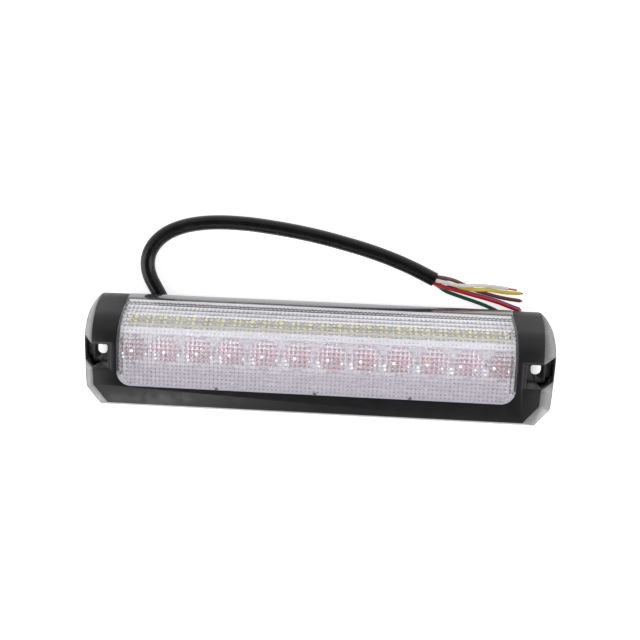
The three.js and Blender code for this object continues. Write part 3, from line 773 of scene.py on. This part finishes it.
# ------------------------------------------------------------------ bezel
INNER_PARTS = 0.9  # pockets, collar and lugs end this far under the outer surface
COLLAR, LENS_GAP = 1.85, 0.35  # both measured out from the lens
COLLAR_FOOT = 26
BOSS_X, BOSS_Y, BOSS_R, BOSS_HOLE_R = (-80, -28, 28, 80), -20.6, 3.0, 1.35  # posts for the case screws
RAIL_HALF, RAIL_JOINT, RAIL_END = 104.8, 104.62, 112  # the rail is thicker beyond the lens
PLATE_Z = 15.5  # the plate that the screw head rests on
# slabs of the right screw pocket, as x0, x1, y0, y1, z0, z1
POCKET_BODY = [(107.8, 118.6, -7.4, 8.8, RIM_Z, 40), (107.8, 123.6, -8.2, 9.6, RIM_Z, PLATE_Z),
               (123, 128.3, -11, 11, RIM_Z, RIM_Z + 1.6)]
POCKET_ROOM = [(109.5, 121, -5.6, 7.2, PLATE_Z, 45),
               (107.6, 118.8, -6.1, 8.1, 35, 45),  # shallow step round its mouth
               (118.4, 140, -6.2, 7.2, PLATE_Z - 0.2, 45), (123.8, 140, -6.2, 7.2, RIM_Z + 1.7, 45),
               (124.4, 128.2, -3.4, 3.8, RIM_Z + 0.8, PLATE_Z + 5),
               (110.4, 122.4, -5.6, 7.2, RIM_Z - 1, PLATE_Z - 2.6)]
LUG_X, LUG_Y, LUG_R = (-51.4, 0.5, 50.3), -14.6, 1.15  # little lugs that hold the lens's low edge


def slab(side, x0, x1, y0, y1, z0, z1):
    return box(x0, x1, y0, y1, z0, z1) if side > 0 else box(-x1, -x0, y0, y1, z0, z1)


def rail_section(outer, inner):
    """The rail that closes the bezel at the foot of its curved side, in (y, z)."""
    def line(inset):
        r = FOOT_R - inset
        heights = (RIM_Z + 5.2 * i / 6 for i in range(7))
        return [(FOOT_Y + math.sqrt(r * r - (z - FOOT_Z) ** 2), z) for z in heights]
    return [*line(outer), *reversed(line(inner))]


def slot_outline():
    """The screw slot, flat on top and round below."""
    return [*quarter(120.6, 2.1, 1.0, 0, 8), *quarter(116.9, 2.1, 1.0, 1, 8),
            *quarter(118.45, 0.45, 2.55, 2, 8), *quarter(119.05, 0.45, 2.55, 3, 8)]


def make_bezel():
    def shape(inset, foot):
        whole = common(flared(base_outline(inset), foot), bar(section(inset, foot - 1), -135, 135))
        return faceted(whole, inset)

    def core():
        return shape(INNER_PARTS, RIM_Z)

    b = shape(0, RIM_Z)
    cut(b, shape(WALL, RIM_Z - 1))
    for s in (1, -1):
        first, *more = POCKET_BODY
        body = slab(s, *first)
        for extra in more:
            fuse(body, slab(s, *extra))
        fuse(b, common(body, core()))
        for room in POCKET_ROOM:
            cut(b, slab(s, *room))
        cut(b, prism([(s * x, y) for x, y in slot_outline()], RIM_Z - 1, 40))
    collar = cut(prism(lens_outline(COLLAR), COLLAR_FOOT, 45), box(-140, 140, 16, 60, 0, 60))
    fuse(b, common(collar, core()))
    for x in BOSS_X:
        fuse(b, post(x, BOSS_Y, RIM_Z + 2.8, FACE_Z - 1, BOSS_R, 28))
    cut(b, prism(lens_outline(LENS_GAP), RIM_Z - 5, 60))
    for x in LUG_X:
        fuse(b, common(post(x, LUG_Y, FACE_Z - 2.2, FACE_Z + 1, LUG_R, 20), core()))
    fuse(b, bar(rail_section(1.9, 3.95), -RAIL_HALF, RAIL_HALF))
    for x0, x1 in ((RAIL_JOINT, RAIL_END), (-RAIL_END, -RAIL_JOINT)):
        fuse(b, bar(rail_section(0.7, 3.7), x0, x1))
    for x in BOSS_X:
        cut(b, post(x, BOSS_Y, RIM_Z - 1, RIM_Z + 12, BOSS_HOLE_R, 20))
    finish_solid(b, "bezel_shell", M["bezel"], edge=0.35)
    for v in b.data.vertices:  # rounding must not push the rim outwards
        v.co.y = max(v.co.y, LOW_Y * MM)
    keep(b, "bezel_plastic", "bezel")


make_bezel()

# ------------------------------------------------------------------ lens
PITCH, COLUMNS = 2.2, 94
STEPS = 7  # mesh steps across a pillow
# where the rows of pillows meet, in y: even on the flat front, then over the curved side to its foot
ROW_Y = [6.26 - 2.13 * k for k in range(10, 0, -1)] + [
    6.26, 8.42, 10.58, 12.7, 14.6, 16.5, 18.35, 19.97, 21.2, 22.5, 24.0, 25.75, 27.1, 28.6]
STEEP_ROW = 14  # from here on the pillows are flatter
LENS_WALL, SIDE_WALL = 1.6, 0.8
SAG, STEEP_SAG = 0.42, 0.34  # depth of a pillow
BEAD_Y, BEAD_END_Y = 27.15, 28.25  # the last row is painted white and glowing: painted light
LENS_MATERIALS = ("lens", "foot", "bead", "glint", "edge")
RED_X = [(i - 5.5) * 17.74 for i in range(12)]
# painted highlights: small white glowing spots in the pillows over each red LED, as (dx, y, radius)
GLINTS = [(-2.6, 4.4, 0.75), (-7.3, 2.9, 0.55), (-6.9, 0.9, 0.55), (5.0, 2.9, 0.5)]
GLINT_DRIFT, GLINT_MID = 0.03, 19  # they drift with x, because the eye is over x = 19


class UnderLine:
    """The lens's inner surface as a line in (y, z), by arc length."""

    def __init__(self):
        self.points = [(y, FACE_Z - LENS_WALL) for y in (-20.0, CURVE_Y)] + arc_points(LENS_WALL, 60)[1:]
        self.run = [0.0]
        for a, c in zip(self.points, self.points[1:]):
            self.run.append(self.run[-1] + math.dist(a, c))

    def at(self, s):
        """The point at arc length s, and the direction across the wall."""
        line, run = self.points, self.run
        i = max(0, min(len(line) - 2, next((k for k, r in enumerate(run) if r >= s), len(run) - 1) - 1))
        t = (s - run[i]) / max(run[i + 1] - run[i], 1e-9)
        (y0, z0), (y1, z1) = line[i], line[i + 1]
        n = Vector((-(z1 - z0), y1 - y0)).normalized()
        return y0 + (y1 - y0) * t, z0 + (z1 - z0) * t, n

    def reach(self, y):
        """The arc length at which the line comes to y."""
        k = next(k for k in range(1, len(self.points)) if self.points[k][0] >= y)
        (y0, _), (y1, _) = self.points[k - 1], self.points[k]
        return self.run[k - 1] + (self.run[k] - self.run[k - 1]) * (y - y0) / (y1 - y0)


def pillow_grid():
    """Rows of points on the pillowed inner surface, from the low side to the foot of the curve."""
    line = UnderLine()
    xs = [((c + k / STEPS) - COLUMNS / 2) * PITCH for c in range(COLUMNS) for k in range(STEPS)]
    xs.append(COLUMNS / 2 * PITCH)
    bounds = [line.reach(y) for y in ROW_Y]
    levels = [(a + (b - a) * k / STEPS, SAG if a < bounds[STEEP_ROW] else STEEP_SAG)
              for a, b in zip(bounds, bounds[1:]) for k in range(STEPS)]
    levels += [(bounds[-1] + (line.run[-1] - bounds[-1]) * i / 14, 0.0) for i in range(15)]
    grid = []
    for j, (s, sag) in enumerate(levels):
        y, z, n = line.at(s)
        v = (j % STEPS) / STEPS * 2 - 1
        row = []
        for i, x in enumerate(xs):
            u = (i % STEPS) / STEPS * 2 - 1
            h = sag * (1 - u * u - v * v)
            row.append((x, y - n.x * h, z - n.y * h))
        grid.append(row)
    return grid


def place_key(x, y, z):
    return round(x, 2), round(y, 2), round(z, 2)


def paint_crease_shade(grid):
    """How dark the lens is painted at each grid point, by its place: painted shade.

    Dots of painted shade sit at the pillows' corners: faint on the flat front, full and wider on its low
    rows and at the ends. The steep rows have full dots, and lines of painted shade across their middles.
    """
    shade_by_place = {}
    last, width = (len(ROW_Y) - 1) * STEPS, len(grid[0])
    for j in range(last + 1):
        y = ROW_Y[min(j + 1, last) // STEPS]
        near_row = min(j % STEPS, STEPS - j % STEPS)
        for i in range(width):
            near_end = min(i, width - 1 - i) / STEPS < 5
            off = near_row + min(i % STEPS, STEPS - i % STEPS)
            point_shade = 0.0
            if off == 0 or off == 1 and (y < -4 or near_end):
                point_shade = (1.0 if y > 15 or y < -4 or near_end else 0.25) * (1.0, 0.65)[off]
            elif y > 21.5 and near_row == 3:
                point_shade = 1.0 if y > 25.8 else 0.6
            shade_by_place[place_key(*grid[j][i])] = point_shade
    return shade_by_place


def lens_hollow(grid):
    """The space under the pillows, closed with walls and a bottom."""
    w, h = len(grid[0]), len(grid)
    verts = [p for row in grid for p in row]
    faces = []
    for j in range(h - 1):
        for i in range(w - 1):
            a = j * w + i
            faces.append((a, a + 1, a + w + 1, a + w))
    rim = ([(i, 0) for i in range(w)] + [(w - 1, j) for j in range(1, h)]
           + [(i, h - 1) for i in range(w - 2, -1, -1)] + [(0, j) for j in range(h - 2, 0, -1)])
    ids = [j * w + i for i, j in rim]
    base, n = len(verts), len(ids)
    verts += [(verts[k][0], verts[k][1], 5.0) for k in ids]
    for k in range(n):
        a, b = ids[k], ids[(k + 1) % n]
        faces.append((b, a, base + k, base + (k + 1) % n))
    faces.append(tuple(base + k for k in reversed(range(n))))
    hollow = raw(verts, faces)
    bm = bmesh.new()
    bm.from_mesh(hollow.data)
    bmesh.ops.recalc_face_normals(bm, faces=bm.faces)
    bm.to_mesh(hollow.data)
    bm.free()
    return common(hollow, prism(lens_outline(-SIDE_WALL, 24), 4, 60))


def lens_material_at(c, normal):
    """Which of the lens's materials a face has, from its centre in mm and its normal."""
    out = (c.y - JOIN_Y) * JOIN_WAY[0] + (c.z - JOIN_Z) * JOIN_WAY[1]
    inside = out < -1.2 and abs(c.x) < INNER_HALF + 0.1  # on the pillows of the curved side
    corner_x, corner_y = LENS_HALF - LENS_CORNER, LENS_LOW_Y + LENS_CORNER
    corner = abs(c.x) > 96 and c.y < -9.5 and math.hypot(abs(c.x) - corner_x, c.y - corner_y) > 6.3
    if c.z < 15.75 and c.y > 25 and out > -1.0:  # the outer face, next to the bezel's rail
        return "foot"
    # the last row: painted light
    if BEAD_Y < c.y < BEAD_END_Y and inside:
        return "bead"
    if BEAD_END_Y < c.y and inside:  # below the last row
        return "foot"
    if c.y < 15 and abs(normal.z) < 0.3 and (c.y < -13.2 or corner):  # the wall of the low side
        return "edge"
    if 33 < c.z < 35.3 and any(  # under the flat front: painted highlights
            math.hypot(c.x - x - dx + (x - GLINT_MID) * GLINT_DRIFT, c.y - y) < r
            for x in RED_X for dx, y, r in GLINTS):
        return "glint"
    return "lens"


def make_lens():
    skin = common(prism(lens_outline(0, 24), 10.35, 60), bar(section(-0.4, 8), -120, 120))
    cut(skin, box(-120, 120, -30, 23.4, 0, 13.1))
    grid = pillow_grid()
    cut(skin, lens_hollow(grid))
    # below the last row the wall runs down plain
    cut(skin, common(bar(section(LENS_WALL, 8), -120, 120), box(-120, 120, 20, 60, 0, 15.6)))
    ob = finish_solid(skin, "lens_clear", M["lens"], angle=17, clean=0.02)
    for name in LENS_MATERIALS[1:]:
        ob.data.materials.append(M[name])
    for f in ob.data.polygons:
        f.material_index = LENS_MATERIALS.index(lens_material_at(f.center / MM, f.normal))
    # painted shade at the pillows' creases, kept on the vertices
    shade_by_place = paint_crease_shade(grid)
    crease_shade = ob.data.attributes.new("crease_shade", "FLOAT", "POINT")
    keys = [place_key(*(c / MM for c in p.co)) for p in ob.data.vertices]
    crease_shade.data.foreach_set("value", [shade_by_place.get(k, 0.0) for k in keys])
    keep(ob, "clear_lens", "lens")


make_lens()

# ------------------------------------------------------------------ reflectors, divider, LEDs
DIE_Z = 18.6  # the face of the boards
RED_Y, WHITE_Y = 1.0, 18.2
CUP_RX, CUP_RY, CUP_TOP = 8.65, 7.5, 32.6
CUP_SHIFT = 4.6  # the mouth of a cup is set this much towards +Y
# package sizes along x, y and z
RED_BODY, RED_WINDOW = (4.6, 2.8, 0.8), (4.4, 2.1, 0.35)
WHITE_BODY, WHITE_WINDOW, STRIP = (3.5, 2.8, 0.85), (3.3, 2.5, 0.2), (199.8, 1.8, 0.35)
WHITE_X = [(i - 12.5) * 7.86 for i in range(26)]
SCREW_XY = [(-88.7, -7.6), (-35.48, -7.6), (35.48, -7.6), (88.7, -7.6)]


def cup(x):
    """A parabola with the LED at its focus."""
    z0, rings = DIE_Z - 1, []
    turns = [i * math.tau / 48 for i in range(48)]
    for k in range(15):
        t = (k / 14) ** 1.6
        w = math.sqrt(0.10 + 0.90 * t)
        rx, ry = CUP_RX * w, CUP_RY * w
        rings.append([(x + rx * math.cos(a), RED_Y + CUP_SHIFT * t + ry * math.sin(a),
                       z0 + (CUP_TOP - z0) * t) for a in turns])
    return loft(rings)


def make_reflectors():
    r = common(box(-INNER_HALF, INNER_HALF, -13.1, 13.5, DIE_Z, 31.6), prism(lens_outline(-1.1), 0, 60))
    trough = [(-11, 40), (-11, 31), (-8.8, 23.2), (-4.6, 23.2), (-3, 31), (-3, 40)]
    cut(r, bar(trough, -100.6, 100.6))
    for x in RED_X:
        cut(r, cup(x))
    for x, y in SCREW_XY:
        cut(r, post(x, y, DIE_Z - 1, DIE_Z + 2.1, 2.9, 24))
    keep(finish_solid(r, "cup_reflector", M["mirror"], angle=25, clean=0.1, edge=0.2, clamp=True),
         "bright_reflector", "main_reflector")


make_reflectors()


def joined(name, parts, angle=30):
    """One object from (verts, faces, material) parts in mm."""
    verts, faces, index, mats = [], [], [], []
    for v, f, mat in parts:
        if mat not in mats:
            mats.append(mat)
        k = len(verts)
        verts += v
        faces += [tuple(i + k for i in face) for face in f]
        index += [mats.index(mat)] * len(f)
    me = bpy.data.meshes.new(name)
    me.from_pydata([tuple(c * MM for c in v) for v in verts], [], faces)
    for m in mats:
        me.materials.append(m)
    me.polygons.foreach_set("material_index", index)
    me.update()
    ob = bpy.data.objects.new(name, me)
    scene.collection.objects.link(ob)
    shade(ob, angle)
    return ob


def slab_part(x, y, z, lx, ly, h, chamfer=0.15):
    """A package body with chamfered top edges."""
    def ring(k, zz):
        return [(x - lx / 2 + k, y - ly / 2 + k, zz), (x + lx / 2 - k, y - ly / 2 + k, zz),
                (x + lx / 2 - k, y + ly / 2 - k, zz), (x - lx / 2 + k, y + ly / 2 - k, zz)]
    verts = ring(0, z) + ring(0, z + h - chamfer) + ring(chamfer, z + h)
    faces = [(3, 2, 1, 0), (8, 9, 10, 11)]
    for r in range(2):
        for i in range(4):
            a, b = r * 4 + i, r * 4 + (i + 1) % 4
            faces.append((a, b, b + 4, a + 4))
    return verts, faces


def window(x, y, z, lx, ly, h, n=28):
    """A low pillow-shaped window with round ends."""
    verts, faces = [], []
    rings = [(0, 0), (0.0, 0.4), (0.12, 0.75), (0.3, 0.95), (0.55, 1.0)]  # (inset, height)
    for k, t in rings:
        r = ly / 2 - k
        for i in range(n):
            a = i * math.tau / n
            cx = (lx - ly) / 2 * (1 if math.cos(a) > 0 else -1)
            verts.append((x + cx + r * math.cos(a), y + r * math.sin(a), z + h * t))
    for j in range(len(rings) - 1):
        for i in range(n):
            p, q = j * n + i, j * n + (i + 1) % n
            faces.append((p, q, q + n, p + n))
    faces.append(tuple(reversed(range(n))))
    faces.append(tuple((len(rings) - 1) * n + i for i in range(n)))
    return verts, faces


def make_leds():
    for i, x in enumerate(RED_X):
        ob = joined(f"red_package_{i + 1:02d}", [
            (*slab_part(x, RED_Y, DIE_Z, *RED_BODY), M["ceramic"]),
            (*window(x, RED_Y, DIE_Z + 0.78, *RED_WINDOW), M["red_dome"])])
        keep(ob, "red_led", f"red_led_{i + 1:02d}")
    strip = joined("white_led_strip", [(*slab_part(0, WHITE_Y, DIE_Z, *STRIP), M["board"])])
    keep(strip, "board", "white_led_row")
    for i, x in enumerate(WHITE_X):
        ob = joined(f"white_package_{i + 1:02d}", [
            (*slab_part(x, WHITE_Y, DIE_Z + 0.05, *WHITE_BODY), M["ceramic"]),
            (*slab_part(x, WHITE_Y - 0.15, DIE_Z + 0.8, *WHITE_WINDOW, 0.1), M["phosphor"])])
        keep(ob, "white_led", "white_led_row")


make_leds()


def make_divider():
    """A T-shaped white bar between the two lamps, its top land close under the lens."""
    profile = [(13.9, DIE_Z), (16.2, DIE_Z), (16.0, 29.4), (16.9, 29.7), (16.75, 30.35), (13.35, 32.3),
               (13.35, 31.7), (14.2, 31.1)]
    d = bar(profile, -INNER_HALF, INNER_HALF)
    keep(finish_solid(d, "divider", M["white_plastic"], edge=0.15), "white_reflector", "divider_bar")


make_divider()


def make_wing():
    """The white wing beside the upper LEDs, with its end plates."""
    w = bar([(20.3, 18.75), (20.2, 20.6), (26.4, 17.2), (25.9, 15.8)], -INNER_HALF, INNER_HALF)
    plate = [(16.5, DIE_Z), (16.5, 27.5), (21.6, 19.8), (21.6, 18.1), (20.3, DIE_Z)]
    for x0, x1 in ((101.9, INNER_HALF), (-INNER_HALF, -101.9)):
        fuse(w, bar(plate, x0, x1))
    keep(finish_solid(w, "upper_wing", M["wing"], edge=0.15), "white_reflector", "upper_reflector")


make_wing()

# ------------------------------------------------------------------ what is carried over
for node, key in {
    "lens_seal": "rubber", "module_housing": "housing", "mount_foam": "foam",
    "main_board": "board", "upper_board": "board", "driver_chip_red": "chip",
    "driver_chip_white": "chip", "power_coil": "chip", "input_diode": "chip", "capacitor_input": "can",
    "capacitor_output": "can", "resistor_red": "chip", "resistor_white": "chip", "board_link": "chip",
    "wire_terminal": "terminal", "vent_plug": "rubber", "cable_grommet": "rubber",
}.items():
    paint(node, key)
for k in range(1, 5):
    paint(f"board_screw_{k}", "steel")
    paint(f"case_screw_{k}", "dark_steel")
